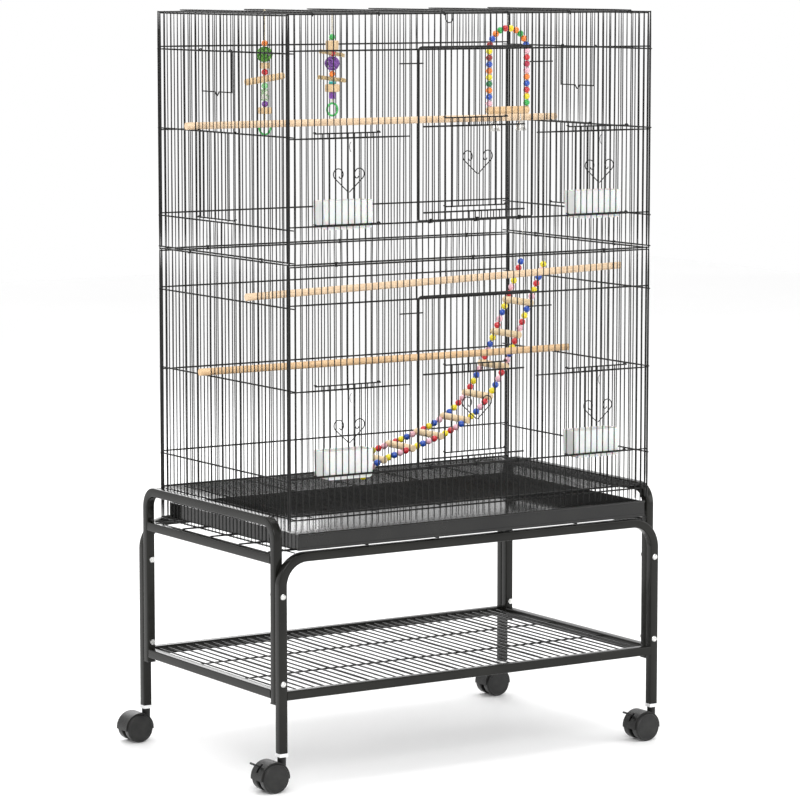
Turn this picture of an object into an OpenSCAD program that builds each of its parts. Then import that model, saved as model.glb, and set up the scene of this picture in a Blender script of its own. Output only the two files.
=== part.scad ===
// Two-tier wire bird cage on a rolling tube stand, with doors, feeders,
// perches, hanging toys, slide-out tray and lower storage shelf.
// Millimetres, +Z up, +X to the right along the front, +Y to the back.

/* [Stand] */
// Side of the square stand tube
tube = 16; // [15.8:0.1:16]
// Wall of the square stand tube
tube_wall = 1.2; // [1:0.1:1.6]
// Top face height of the storage shelf rails
shelf_top = 171; // [164:1:174]
// Number of front-to-back wires in the shelf
shelf_wire_count = 41; // [31:2:45]
// Centre-line bend radius of the front and rear frames
frame_bend = 48; // [40:1:56]
// Centre-line bend radius of the side arches
arch_bend = 30; // [26:1:36]
// Dome bolt head diameter
bolt_head_d = 11; // [9:0.5:12]

/* [Casters] */
// Wheel diameter
wheel_d = 50; // [49:0.5:50]
// Offset of the wheel axle from the swivel axis
caster_trail = 22.5; // [21:0.5:23]
// Overall width over both wheels
caster_width = 43; // [43:0.5:46]
// Width of the hood that covers the wheels
hood_width = 36; // [32:1:36]

/* [Cage wire] */
// Thin bar wire diameter
bar_d = 2; // [1.8:0.1:2]
// Cross wire diameter
cross_d = 3; // [2.6:0.1:3]
// Corner post diameter
post_d = 3.5; // [3:0.1:3.5]
// Height of the tier split above the floor
upper_base = 898.3; // [896.3:0.5:900.3]
// Hairline left between wires that are welded where they cross
weld_gap = 0.03; // [0.03:0.01:0.05]

/* [Doors] */
// Main door frame wire diameter
door_frame_d = 4; // [3.5:0.1:4]
// Half width of a main door
door_half = 118; // [116:0.5:119]
// Corner radius at the top of a main door
door_corner = 7; // [6:0.5:12]
// Small sliding door cross bar diameter
slider_bar_d = 2.5; // [2.2:0.1:2.5]
// Wire diameter of the heart on a sliding door
heart_d = 1.8; // [1.4:0.1:2]
// Radius of each upper lobe of the heart
heart_lobe = 9.6; // [8.6:0.2:10.2]

/* [Floor and tray] */
// Height of the wire floor grate
grate_z = 468.5; // [468.5:0.1:468.6]
// Depth of the tray wall
tray_wall_h = 27; // [22:1:28]
// Thickness of the tray sheet
tray_sheet = 2; // [1.6:0.1:2.4]
// Half width of the tray
tray_half = 364; // [360:1:365]

/* [Furnishings] */
// Perch dowel diameter
perch_d = 12.7; // [12:0.1:13]
// Feeder cup width
cup_width = 100; // [94:1:102]
// Feeder cup height
cup_height = 49; // [42:1:50]
// Feeder cup wall
cup_wall = 2.2; // [1.8:0.1:2.6]
// Bead diameter on the ladder
bead_d = 12.5; // [11.5:0.1:12.5]
// Ladder rung dowel diameter
rung_d = 13; // [11:0.5:13]
// Swing bar dowel diameter
swing_bar_d = 14; // [12:0.5:14]

/* [Hidden] */
$fn = 48;
frame_shift = 26.5;
clear = 0.35;
cut = 0.5;

// stand, measured from its own centre
leg_x = 392;
outer_leg_y = 242;
arch_leg_y = outer_leg_y - tube;
leg_foot_z = 64;
rail_z = 400;
arch_z = 460;
arch_foot_z = 148.5;
cross_bar_z = 396;
bolt_levels = [184, 335];
bolt_d = 6;
bolt_hole_d = 6.4;
bolt_head_h = 3.2;
bolt_recess_d = 4.6;
bolt_recess_h = 1.8;
nut_h = 5;
nut_d = 11;
plug_fit = 0.5;
plug_cap = 2;
plug_depth = 12;
shelf_z = shelf_top - tube / 2;
shelf_wire_d = 3;
shelf_wire_thick_d = 4;
shelf_wire_z = shelf_top - 4;
shelf_wire_span = 738;
shelf_tie_y = 78;

// casters, measured from the swivel axis
wheel_r = wheel_d / 2;
hood_r = wheel_r + 3.5;
hood_pocket_r = wheel_r + 0.8;
hood_skirt = 2.5;
web_half = 5;
wheel_inner = web_half + 0.4;
wheel_groove = 1.2;
wheel_chamfer = 1.5;
axle_d = 6;
axle_half = caster_width / 2 - 3;
stem_housing_d = 15;
housing_rise = 8;
socket_z = 58;
socket_flange = leg_foot_z - socket_z;
stem_d = 8;
socket_depth = 32;
stem_top_z = socket_z + socket_depth - 2;
lever_pivot = [-14, 17];
lever_tilt = 25;
lever_half = 6;
lever_tongue_half = 2.4;
lever_slot_half = 2.8;
lever_pin_d = 3;
lever_thick = 2.8;
lever_reach = 24;
lever_slot = [16, 5, 7];
lever_root = 11;

// cage, measured from the stand centre
base_z = [470, upper_base];
roof_bar_z = 1319.5;
top_z = [upper_base - 3.6, roof_bar_z - 0.5];
level_d = 63.7;
level_c = 212;
level_b = 359.5;
front_face = -243.5;
back_face = 204.5;
side_face = 373.5;
bar_r = bar_d / 2;
cross_r = cross_d / 2;
post_r = post_d / 2;
post_x = side_face + 1.75;
front_spaces = 59;
front_pitch = 2 * post_x / front_spaces;
side_post_front = -238.69;
side_post_back = 199.69;
side_spaces = 35;
side_pitch = (side_post_back - side_post_front) / side_spaces;
side_mid = side_post_front + 19 * side_pitch;
cross_front_y = front_face + cross_r + weld_gap;
cross_back_y = back_face - cross_r - weld_gap;
cross_side_x = side_face - cross_r - weld_gap;
bar_front_y = front_face - bar_r;
bar_back_y = back_face + bar_r;
bar_side_x = side_face + bar_r;
side_base_z = [base_z[0] - 4, upper_base + 3.9];
side_top_z = [upper_base - 0.1, roof_bar_z - bar_r - cross_r - weld_gap];
side_level_d = level_d - 4.5;
side_level_c = level_c + 3.2;
side_level_b = level_b - 4.3;
side_wire_front = -254;
side_wire_back = 215;
front_foot_z = 446;
front_foot_rail = base_z[0] - 7.2;
rear_foot_z = 414;
side_foot_z = 410;
main_cut = 10 * front_pitch;
main_border = 10.5 * front_pitch;
slider_mid = 20.5 * front_pitch;
slider_cut = 4.5 * front_pitch;
side_cut = 4.5 * side_pitch;
roof_thick_d = 3;
roof_thick_x = 66;

// doors
door_low = 65.5;
door_high = 363.2;
door_gap = 0.4;
door_frame_y = front_face - bar_d - door_gap - door_frame_d / 2;
door_bar_y = front_face - bar_d - door_gap - bar_r;
door_rail_x = 105;
door_rail_low = 79.5;
door_rail_high = 227.5;
ear_rise = 336;
ear_d = 2.4;
ear_in = 110.5;
ear_out = 159;
clip_ring_r = 3.8;
clip_half = 2;
slider_bar_y = -bar_r - clear - slider_bar_d / 2;
slider_bar_gap = slider_bar_d / 2 + bar_r + weld_gap;
slider_low = 65.5;
slider_high = 220.5;
side_slider_low = 65.1;
side_slider_high = 216;
centre_low = 89;
centre_high = 242;
sleeve_r = 2.7;
sleeve_h = 1.8;
sleeve_lift = 1.7;
slider_over = 2.4;
heart_rise = 54.3;
heart_spread = 21;
heart_height = 31.4;
heart_turn_end = 215;
curl_r = 3.3;
curl_sweep = 150;

// base
rack_d = 4;
rack_z = cross_bar_z + tube / 2 + weld_gap + rack_d / 2;
rack_tie_d = 4.4;
rack_tie_z = rail_z + tube / 2 + weld_gap + rack_tie_d / 2;
tray_floor_z = rack_tie_z + rack_tie_d / 2 + clear;
tray_front_y = -254;
tray_back_y = 198;
tray_rim_d = 4;
tray_lip = 5;

// furnishings
perch_half = 394;
notch_half = 5.2;
notch_wide = 1.5;
hook_wire_d = 1.8;
cup_back_y = -199;
cup_front_y = -239.9;
cup_low = level_d - 7.2;
cup_offset = 8;
cup_taper = 3.5;
cup_corner = 8;
cup_ledge_h = 2.4;
cup_ledge_y = -243.4;
cup_ledge_half = 40;
hanger_wire_d = 2.2;
hanger_z = upper_base + side_level_b;
hanger_drop = 71.5;
hanger_span = 103.8;
hanger_dip = 6.7;

// ---------------------------------------------------------------- shared shapes

// everything is drawn about the stand centre, then moved so that the whole
// outline, casters included, is centred on the origin
module placed() {
    translate([frame_shift, 0, 0]) children();
}

module rod_x(x0, x1, y, z, d) {
    translate([x0, y, z]) rotate([0, 90, 0]) cylinder(d = d, h = x1 - x0);
}

module rod_y(y0, y1, x, z, d) {
    translate([x, y0, z]) rotate([-90, 0, 0]) cylinder(d = d, h = y1 - y0);
}

module rod_z(z0, z1, x, y, d) {
    translate([x, y, z0]) cylinder(d = d, h = z1 - z0);
}

module rod_between(p, q, d) {
    v = q - p;
    len = norm(v);
    translate(p) rotate([0, acos(v[2] / len), atan2(v[1], v[0])]) cylinder(d = d, h = len);
}

// round wire bent in the X-Z plane about the Y axis, from a0 turning by sweep
module wire_bend(r, d, a0, sweep) {
    rotate([90, 0, 0]) rotate([0, 0, a0]) rotate_extrude(angle = sweep)
        translate([r, 0]) circle(d = d);
}

module tube_profile() {
    difference() {
        square(tube, center = true);
        square(tube - 2 * tube_wall, center = true);
    }
}

module tube_run(len) {
    linear_extrude(len) tube_profile();
}

// inverted U of square tube in the X-Z plane
module tube_arch(half, foot, top, bend) {
    for (s = [0, 1]) mirror([s, 0, 0]) {
        translate([half, 0, foot]) tube_run(top - bend - foot);
        translate([half - bend, 0, top - bend]) rotate([90, 0, 0])
            rotate_extrude(angle = 90) translate([bend, 0]) tube_profile();
    }
    translate([-(half - bend), 0, top]) rotate([0, 90, 0]) tube_run(2 * (half - bend));
}

module bolt_holes() {
    for (x = [-leg_x, leg_x], z = bolt_levels) for (s = [0, 1]) mirror([0, s, 0])
        rod_y(-outer_leg_y - tube, -arch_leg_y + tube, x, z, bolt_hole_d);
}

// ---------------------------------------------------------------- stand

module leg_frame(side) {
    difference() {
        translate([0, side * outer_leg_y, 0]) tube_arch(leg_x, leg_foot_z, rail_z, frame_bend);
        bolt_holes();
    }
}

module front_leg_frame() {
    color("#1b1b1a") placed() leg_frame(-1);
}

module rear_leg_frame() {
    color("#1b1b1a") placed() leg_frame(1);
}

module side_arch(side) {
    difference() {
        union() {
            translate([side * leg_x, 0, 0]) rotate([0, 0, 90])
                tube_arch(arch_leg_y, arch_foot_z, arch_z, arch_bend);
            translate([side * leg_x, -arch_leg_y + tube / 2, cross_bar_z]) rotate([-90, 0, 0])
                tube_run(2 * arch_leg_y - tube);
        }
        bolt_holes();
    }
}

module left_side_arch() {
    color("#1b1b1a") placed() side_arch(-1);
}

module right_side_arch() {
    color("#1b1b1a") placed() side_arch(1);
}

module shelf_frame() {
    rail_x = leg_x - tube / 2 - weld_gap;
    rail_y = arch_leg_y - tube / 2 - weld_gap;
    color("#1b1b1a") placed() {
        for (s = [-1, 1]) {
            translate([-rail_x, s * outer_leg_y, shelf_z]) rotate([0, 90, 0]) tube_run(2 * rail_x);
            translate([s * leg_x, -rail_y, shelf_z]) rotate([-90, 0, 0]) tube_run(2 * rail_y);
        }
    }
}

module shelf_wires() {
    pitch = shelf_wire_span / (shelf_wire_count - 1);
    rail_face = outer_leg_y - tube / 2 - weld_gap;
    tie_x = leg_x - tube / 2 - weld_gap;
    tie_z = shelf_wire_z - shelf_wire_thick_d / 2 - shelf_wire_d / 2 - weld_gap;
    color("#20201f") placed() {
        for (i = [0 : shelf_wire_count - 1])
            rod_y(-rail_face, rail_face, -shelf_wire_span / 2 + i * pitch, shelf_wire_z,
                  i % 5 == 4 ? shelf_wire_thick_d : shelf_wire_d);
        for (s = [-1, 1])
            rod_x(-tie_x, tie_x, s * shelf_tie_y, tie_z, shelf_wire_d);
    }
}

// dome head outside, plain shank through both tubes
module bolt() {
    crown = (pow(bolt_head_d / 2, 2) + pow(bolt_head_h, 2)) / (2 * bolt_head_h);
    difference() {
        intersection() {
            translate([0, 0, bolt_head_h - crown]) sphere(r = crown);
            cylinder(d = bolt_head_d + cut, h = bolt_head_h + cut);
        }
        translate([0, 0, bolt_head_h - bolt_recess_h])
            cylinder(d = bolt_recess_d, h = bolt_recess_h + cut, $fn = 6);
    }
    translate([0, 0, -2 * tube - nut_h - 1]) cylinder(d = bolt_d, h = 2 * tube + nut_h + 1 + cut);
}

module at_bolts(y) {
    for (x = [-leg_x, leg_x], z = bolt_levels) for (s = [0, 1]) mirror([0, s, 0])
        translate([x, -y, z]) rotate([90, 0, 0]) children();
}

module frame_bolts() {
    color("#b9b9b6") placed() at_bolts(outer_leg_y + tube / 2 + weld_gap) bolt();
}

module frame_nuts() {
    color("#a5a5a2") placed() at_bolts(arch_leg_y - tube / 2 - weld_gap - nut_h) difference() {
        cylinder(d = nut_d, h = nut_h, $fn = 6);
        translate([0, 0, -cut]) cylinder(d = bolt_d + 2 * weld_gap, h = nut_h + 2 * cut);
    }
}

module at_casters() {
    for (sx = [-1, 1], sy = [-1, 1])
        translate([sx * leg_x, sy * outer_leg_y, 0]) children();
}

module caster_sockets() {
    inner = tube - 2 * tube_wall - plug_fit;
    color("#eeeeea") placed() at_casters() difference() {
        union() {
            translate([0, 0, socket_z + socket_flange / 2 - weld_gap])
                cube([tube, tube, socket_flange - 2 * weld_gap], center = true);
            translate([0, 0, socket_z + socket_depth / 2 + 1])
                cube([inner, inner, socket_depth], center = true);
        }
        translate([0, 0, socket_z - cut]) cylinder(d = stem_d + 2 * clear, h = socket_depth);
    }
}

module arch_plugs() {
    inner = tube - 2 * tube_wall - plug_fit;
    color("#161616") placed() {
        for (sx = [-1, 1], sy = [-1, 1]) translate([sx * leg_x, sy * arch_leg_y, arch_foot_z]) {
            translate([0, 0, -plug_cap / 2 - weld_gap]) cube([tube, tube, plug_cap], center = true);
            translate([0, 0, plug_depth / 2 - plug_cap]) cube([inner, inner, plug_depth], center = true);
        }
    }
}

module base_rack() {
    tie_half = outer_leg_y + tube / 4;
    color("#20201f") placed() {
        for (y = [-200 : 100 : 200]) rod_x(-leg_x, leg_x, y, rack_z, rack_d);
        for (x = [-220, -75, 75, 220]) rod_y(-tie_half, tie_half, x, rack_tie_z, rack_tie_d);
    }
}

// ---------------------------------------------------------------- casters

module along_y(y0, y1, r) {
    translate([0, y0, 0]) rotate([-90, 0, 0]) cylinder(r = r, h = y1 - y0);
}

// hood, web, axle, stem housing and stem; the lever slot is only cut where
// there is a brake
module caster_fork(brake) {
    half = hood_width / 2;
    axle = [-caster_trail, 0, wheel_r];
    housing_low = wheel_r + housing_rise;
    difference() {
        union() {
            translate(axle) along_y(-half, half, hood_r);
            translate([0, 0, housing_low]) cylinder(d = stem_housing_d,
                h = socket_z - clear - housing_low);
        }
        translate(axle) for (s = [0, 1]) mirror([0, s, 0])
            along_y(web_half, caster_width, hood_pocket_r);
        translate([-caster_trail - 2 * hood_r, -caster_width, -2 * hood_skirt])
            cube([4 * hood_r, 2 * caster_width, wheel_r + hood_skirt]);
        if (brake) translate(axle) {
            translate([lever_pivot[0] - lever_slot[0], -lever_slot_half,
                       lever_pivot[1] - lever_slot[2]])
                cube([lever_slot[0] + lever_slot[1], 2 * lever_slot_half, 2 * lever_slot[2]]);
            translate([lever_pivot[0], 0, lever_pivot[1]])
                along_y(-web_half - cut, web_half + cut, lever_pin_d / 2 + clear);
        }
    }
    translate(axle) along_y(-web_half, web_half, axle_d);
    translate(axle) along_y(-axle_half, axle_half, axle_d / 2);
    rod_z(socket_z - 4, stem_top_z, 0, 0, stem_d);
}

module caster_wheel_pair() {
    edge = hood_width / 2 + 0.4;
    outer = caster_width / 2;
    bore = axle_d / 2 + clear;
    translate([-caster_trail, 0, wheel_r]) for (s = [0, 1]) mirror([0, s, 0])
        rotate([90, 0, 0]) rotate_extrude() polygon([
            [bore, wheel_inner], [wheel_r, wheel_inner], [wheel_r, edge],
            [wheel_r - wheel_groove, edge], [wheel_r - wheel_groove, edge + wheel_groove],
            [wheel_r, edge + wheel_groove], [wheel_r, outer - wheel_chamfer],
            [wheel_r - wheel_chamfer, outer], [0, outer], [0, axle_half + clear],
            [bore, axle_half + clear]
        ]);
}

module lever() {
    translate([-caster_trail + lever_pivot[0], 0, wheel_r + lever_pivot[1]]) {
        along_y(-web_half + 0.2, web_half - 0.2, lever_pin_d / 2);
        rotate([0, lever_tilt, 0]) {
            translate([-lever_reach, -lever_tongue_half, -lever_thick / 2])
                cube([lever_reach, 2 * lever_tongue_half, lever_thick]);
            translate([-lever_reach, -lever_half, -lever_thick / 2])
                cube([lever_reach - lever_root, 2 * lever_half, lever_thick]);
            translate([-lever_reach, 0, 0]) along_y(-lever_half, lever_half, lever_thick / 2 + 0.5);
        }
    }
}

module at_caster(sx, sy) {
    translate([sx * leg_x, sy * outer_leg_y, 0]) children();
}

module caster_fl_fork() {
    color("#232322") placed() at_caster(-1, -1) caster_fork(true);
}

module caster_fr_fork() {
    color("#232322") placed() at_caster(1, -1) caster_fork(true);
}

module caster_rl_fork() {
    color("#232322") placed() at_caster(-1, 1) caster_fork(false);
}

module caster_rr_fork() {
    color("#232322") placed() at_caster(1, 1) caster_fork(false);
}

module caster_fl_wheels() {
    color("#2b2b2a") placed() at_caster(-1, -1) caster_wheel_pair();
}

module caster_fr_wheels() {
    color("#2b2b2a") placed() at_caster(1, -1) caster_wheel_pair();
}

module caster_rl_wheels() {
    color("#2b2b2a") placed() at_caster(-1, 1) caster_wheel_pair();
}

module caster_rr_wheels() {
    color("#2b2b2a") placed() at_caster(1, 1) caster_wheel_pair();
}

module brake_lever_fl() {
    color("#1c1c1b") placed() at_caster(-1, -1) lever();
}

module brake_lever_fr() {
    color("#1c1c1b") placed() at_caster(1, -1) lever();
}

// ---------------------------------------------------------------- cage panels

// upright bars of a front tier; bars that cross an opening are cut at its rails
module front_bars(base, foot, top) {
    low_end = base + level_d + cross_r;
    for (k = [1 : front_spaces - 1]) {
        x = -post_x + k * front_pitch;
        in_main = abs(x) < main_cut;
        in_slider = abs(abs(x) - slider_mid) < slider_cut;
        if (in_main || in_slider) {
            rod_z(foot, low_end, x, bar_front_y, bar_d);
            rod_z(base + (in_main ? level_b : level_c) - cross_r, top, x, bar_front_y, bar_d);
        } else {
            rod_z(foot, top, x, bar_front_y, bar_d);
        }
    }
}

module front_rails(base, levels) {
    reach = post_x + post_r;
    for (z = levels) rod_x(-reach, reach, cross_front_y, z, cross_d);
    for (s = [0, 1]) mirror([s, 0, 0])
        rod_x(main_border - bar_r, reach, cross_front_y, base + level_c, cross_d);
}

module front_posts(y, low, high) {
    for (s = [-1, 1]) rod_z(low, high, s * post_x, y, post_d);
}

module front_panel_lower() {
    b = base_z[0];
    t = top_z[0];
    color("#1a1a19") placed() {
        front_bars(b, front_foot_z, t + cross_r);
        front_rails(b, [front_foot_rail, b, b + level_d, b + level_b, t]);
        front_posts(front_face - post_r, front_foot_z, t + cross_r);
    }
}

module front_panel_upper() {
    b = base_z[1];
    t = top_z[1];
    color("#1a1a19") placed() {
        front_bars(b, b - cross_r, t + cross_r);
        front_rails(b, [b, b + level_d, b + level_b, t]);
        front_posts(front_face - post_r, b - cross_r, t + cross_r);
    }
}

module back_panel(low, high, levels) {
    reach = post_x + post_r;
    for (k = [1 : front_spaces - 1])
        rod_z(low, high, -post_x + k * front_pitch, bar_back_y, bar_d);
    for (z = levels) rod_x(-reach, reach, cross_back_y, z, cross_d);
    front_posts(back_face + post_r, low, high);
}

module back_panel_lower() {
    b = base_z[0];
    t = top_z[0];
    color("#1a1a19") placed() back_panel(rear_foot_z - cross_r, t + cross_r,
        [rear_foot_z, b, b + level_d, b + level_c, b + level_b, t]);
}

module back_panel_upper() {
    b = base_z[1];
    t = top_z[1];
    color("#1a1a19") placed() back_panel(b - cross_r, t + cross_r,
        [b, b + level_d, b + level_c, b + level_b, t]);
}

// side tier on +X; opening true leaves the slider hole between two rails; the
// top wire stops between the front and back rails that share its height
module side_panel(tier, low, levels, opening) {
    base = base_z[tier];
    high = side_top_z[tier] + cross_r - weld_gap;
    for (i = [1 : side_spaces - 1]) {
        y = side_post_front + i * side_pitch;
        if (opening && abs(y - side_mid) < side_cut) {
            rod_z(low, base + side_level_d + cross_r, bar_side_x, y, bar_d);
            rod_z(base + side_level_c - cross_r, high, bar_side_x, y, bar_d);
        } else {
            rod_z(low, high, bar_side_x, y, bar_d);
        }
    }
    rod_z(tier == 0 ? front_foot_z : low, high, side_face + post_r, side_post_front, post_d);
    rod_z(low, high, side_face + post_r, side_post_back, post_d);
    for (z = concat(levels, [side_base_z[tier], base + side_level_d, base + side_level_c,
                             base + side_level_b]))
        rod_y(side_wire_front, side_wire_back, cross_side_x, z, cross_d);
    rod_y(cross_front_y + cross_r + weld_gap, cross_back_y - cross_r - weld_gap, cross_side_x,
          side_top_z[tier], cross_d);
}

module side_panel_lower() {
    side_panel(0, side_foot_z - cross_r, [side_foot_z], false);
}

module side_panel_upper() {
    side_panel(1, side_base_z[1] - cross_r, [], true);
}

module left_panel_lower() {
    color("#1a1a19") placed() mirror([1, 0, 0]) side_panel_lower();
}

module left_panel_upper() {
    color("#1a1a19") placed() mirror([1, 0, 0]) side_panel_upper();
}

module right_panel_lower() {
    color("#1a1a19") placed() side_panel_lower();
}

module right_panel_upper() {
    color("#1a1a19") placed() side_panel_upper();
}

module roof_panel() {
    reach = post_x + post_r;
    thick_z = roof_bar_z + bar_r + roof_thick_d / 2 + weld_gap;
    color("#1a1a19") placed() {
        for (i = [0 : side_spaces])
            rod_x(-reach, reach, side_post_front + i * side_pitch, roof_bar_z, bar_d);
        for (x = [-5 : 2 : 5])
            rod_y(front_face - bar_d, back_face + bar_d, x * roof_thick_x, thick_z, roof_thick_d);
    }
}

// C strip that ties the last rail of one tier to the first rail of the next
module tier_clip(lower_z, upper_z) {
    spine = 0.8;
    half = 2;
    grip = cross_d + weld_gap;
    lo = lower_z - cross_r - spine - weld_gap;
    hi = upper_z + cross_r + spine + weld_gap;
    rotate([90, 0, 90]) translate([0, 0, -half]) linear_extrude(2 * half) polygon([
        [-grip, lo], [spine, lo], [spine, hi], [-grip, hi],
        [-grip, hi - spine], [weld_gap, hi - spine], [weld_gap, lo + spine], [-grip, lo + spine]
    ]);
}

module panel_clips() {
    inner_front = cross_front_y + cross_r;
    inner_back = cross_back_y - cross_r;
    inner_side = cross_side_x - cross_r;
    color("#2a2a29") placed() {
        for (k = [-22, 0, 22]) {
            translate([k * front_pitch, inner_front, 0]) tier_clip(top_z[0], base_z[1]);
            translate([k * front_pitch, inner_back, 0]) rotate([0, 0, 180])
                tier_clip(top_z[0], base_z[1]);
        }
        for (s = [0, 1]) mirror([s, 0, 0]) for (i = [7.5, 27.5])
            translate([inner_side, side_post_front + i * side_pitch, 0]) rotate([0, 0, 90])
                tier_clip(side_top_z[0], side_base_z[1]);
    }
}

// figure-eight strip: grips the cage rail and carries the door's bottom wire
module hinge_clip(base) {
    rail = [cross_front_y, base + level_d];
    pin = [door_frame_y, base + door_low];
    run = pin - rail;
    rotate([90, 0, 90]) translate([0, 0, -clip_half]) linear_extrude(2 * clip_half) difference() {
        union() {
            translate(pin) circle(r = clip_ring_r);
            translate(rail) circle(r = clip_ring_r - 0.9);
            translate(rail) rotate(atan2(run[1], run[0])) translate([0, -1.2])
                square([norm(run), 2.4]);
        }
        translate(pin) circle(r = door_frame_d / 2 + clear);
        translate(rail) circle(r = cross_r + weld_gap);
    }
}

module door_hinge_clips() {
    color("#2a2a29") placed() {
        for (b = base_z, x = [-7.25, 0.25, 7.25])
            translate([x * front_pitch, 0, 0]) hinge_clip(b);
    }
}

module floor_grate() {
    reach = side_face - 0.3;
    tie_z = grate_z - bar_r - cross_r - weld_gap;
    color("#1c1c1b") placed() {
        for (i = [0 : side_spaces])
            rod_x(-reach, reach, side_post_front + i * side_pitch, grate_z, bar_d);
        for (x = [-5 : 2 : 5])
            rod_y(cross_front_y + cross_r + 0.1, cross_back_y - cross_r - 0.1,
                  x * roof_thick_x, tie_z, cross_d);
    }
}

module slide_tray() {
    y0 = tray_front_y;
    y1 = tray_back_y;
    rim_z = tray_floor_z + tray_wall_h;
    color("#191918") placed() {
        difference() {
            translate([-tray_half, y0, tray_floor_z])
                cube([2 * tray_half, y1 - y0, tray_wall_h]);
            translate([-tray_half + tray_sheet, y0 + tray_sheet, tray_floor_z + tray_sheet])
                cube([2 * (tray_half - tray_sheet), y1 - y0 - 2 * tray_sheet, tray_wall_h]);
        }
        rod_x(-tray_half, tray_half, y0, rim_z, tray_rim_d);
        translate([-tray_half, y0 - 1, tray_floor_z]) cube([2 * tray_half, 1 + cut, tray_lip]);
    }
}

// ---------------------------------------------------------------- doors

module main_door(base) {
    r = door_frame_d / 2;
    low = base + door_low;
    high = base + door_high;
    turn = door_half - door_corner;
    color("#171716") placed() {
        rod_x(-door_half, door_half, door_frame_y, low, door_frame_d);
        rod_x(-turn, turn, door_frame_y, high, door_frame_d);
        for (s = [0, 1]) mirror([s, 0, 0]) {
            rod_z(low + r + weld_gap, high - door_corner - weld_gap, door_half, door_frame_y,
                  door_frame_d);
            translate([turn + weld_gap, door_frame_y, high - door_corner])
                wire_bend(door_corner, door_frame_d, 0, 89.8);
            rod_x(ear_in, ear_out, door_frame_y - r - ear_d / 2 - weld_gap, base + ear_rise, ear_d);
        }
        for (k = [-8 : 8]) {
            x = k * front_pitch;
            if (abs(k) < 5) {
                rod_z(low + r + weld_gap, base + door_rail_low + cross_r, x, door_bar_y, bar_d);
                rod_z(base + door_rail_high - cross_r, high - r - weld_gap, x, door_bar_y, bar_d);
            } else {
                rod_z(low + r + weld_gap, high - r - weld_gap, x, door_bar_y, bar_d);
            }
        }
        for (z = [door_rail_low, door_rail_high])
            rod_x(-door_rail_x, door_rail_x, door_bar_y + bar_r + cross_r + weld_gap, base + z,
                  cross_d);
    }
}

module main_door_upper() {
    main_door(base_z[1]);
}

module main_door_lower() {
    main_door(base_z[0]);
}

// heart of bent wire, tip at the origin, in the X-Z plane
module heart() {
    reach = norm([heart_spread, heart_height]);
    lean = atan2(heart_spread, heart_height) + asin(heart_lobe / reach);
    side_len = sqrt(reach * reach - heart_lobe * heart_lobe);
    for (s = [0, 1]) mirror([s, 0, 0]) {
        rod_between([sin(lean) * 1.2, 0, cos(lean) * 1.2],
                    [sin(lean) * side_len, 0, cos(lean) * side_len], heart_d);
        translate([heart_spread, 0, heart_height])
            wire_bend(heart_lobe, heart_d, -lean + 0.2, heart_turn_end + lean - 0.4);
        translate([heart_spread + (heart_lobe - curl_r) * cos(heart_turn_end), 0,
                   heart_height + (heart_lobe - curl_r) * sin(heart_turn_end)])
            wire_bend(curl_r, heart_d, heart_turn_end, curl_sweep);
    }
}

// sliding door that rides on two upright bars, drawn about the bar plane
module slider(pitch, low, high) {
    half = 5 * pitch;
    bar_y = slider_bar_y - slider_bar_gap;
    for (z = [low, high]) rod_x(-half - slider_over, half + slider_over, slider_bar_y, z,
                                slider_bar_d);
    for (k = [-4 : 4]) rod_z(low - slider_bar_d / 2, high + slider_bar_d / 2, k * pitch, bar_y,
                             bar_d);
}

module slider_heart(low) {
    translate([0, slider_bar_y - slider_bar_gap - bar_r - heart_d / 2 - weld_gap,
               low + heart_rise]) heart();
}

module slider_sleeves(pitch, low, high) {
    for (x = [-5 * pitch, 5 * pitch], z = [low, high])
        translate([x, 0, z + sleeve_lift - sleeve_h / 2])
        difference() {
            cylinder(r = sleeve_r, h = sleeve_h);
            translate([0, 0, -cut]) cylinder(r = bar_r + clear + weld_gap, h = sleeve_h + 2 * cut);
        }
}

module full_slider(pitch, low, high) {
    slider(pitch, low, high);
    slider_sleeves(pitch, low, high);
}

module front_slider(x, base) {
    color("#171716") placed() translate([x, bar_front_y, base]) {
        full_slider(front_pitch, slider_low, slider_high);
        slider_heart(slider_low);
    }
}

module centre_slider(base) {
    color("#171716") placed() translate([0, door_bar_y, base]) {
        full_slider(front_pitch, centre_low, centre_high);
        slider_heart(centre_low);
    }
}

module side_slider(side) {
    color("#171716") placed() translate([side * bar_side_x, side_mid, base_z[1]])
        rotate([0, 0, side * 90]) full_slider(side_pitch, side_slider_low, side_slider_high);
}

module slider_upper_left() {
    front_slider(-slider_mid, base_z[1]);
}

module slider_upper_centre() {
    centre_slider(base_z[1]);
}

module slider_upper_right() {
    front_slider(slider_mid, base_z[1]);
}

module slider_lower_left() {
    front_slider(-slider_mid, base_z[0]);
}

module slider_lower_centre() {
    centre_slider(base_z[0]);
}

module slider_lower_right() {
    front_slider(slider_mid, base_z[0]);
}

module slider_side_left() {
    side_slider(-1);
}

module slider_side_right() {
    side_slider(1);
}

// ---------------------------------------------------------------- feeders and perches

// plan of a cup with its corners taken off
module cup_plan(inset) {
    w = cup_width / 2 - inset;
    y0 = cup_front_y + inset;
    y1 = cup_back_y - inset;
    c = cup_corner * 0.6 - inset / 2;
    polygon([[-w + c, y0], [w - c, y0], [w, y0 + c], [w, y1 - c],
             [w - c, y1], [-w + c, y1], [-w, y1 - c], [-w, y0 + c]]);
}

// front view of a cup, narrower at the bottom, with rounded lower corners
module cup_front(inset, rise) {
    top = cup_width / 2 - inset;
    low = cup_width / 2 - cup_taper - inset;
    r = cup_corner - inset;
    polygon(concat(
        [[top, rise], [-top, rise]],
        [for (a = [180 : 15 : 270]) [-low + r + r * cos(a), inset + r + r * sin(a)]],
        [for (a = [270 : 15 : 360]) [low - r + r * cos(a), inset + r + r * sin(a)]]));
}

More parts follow.
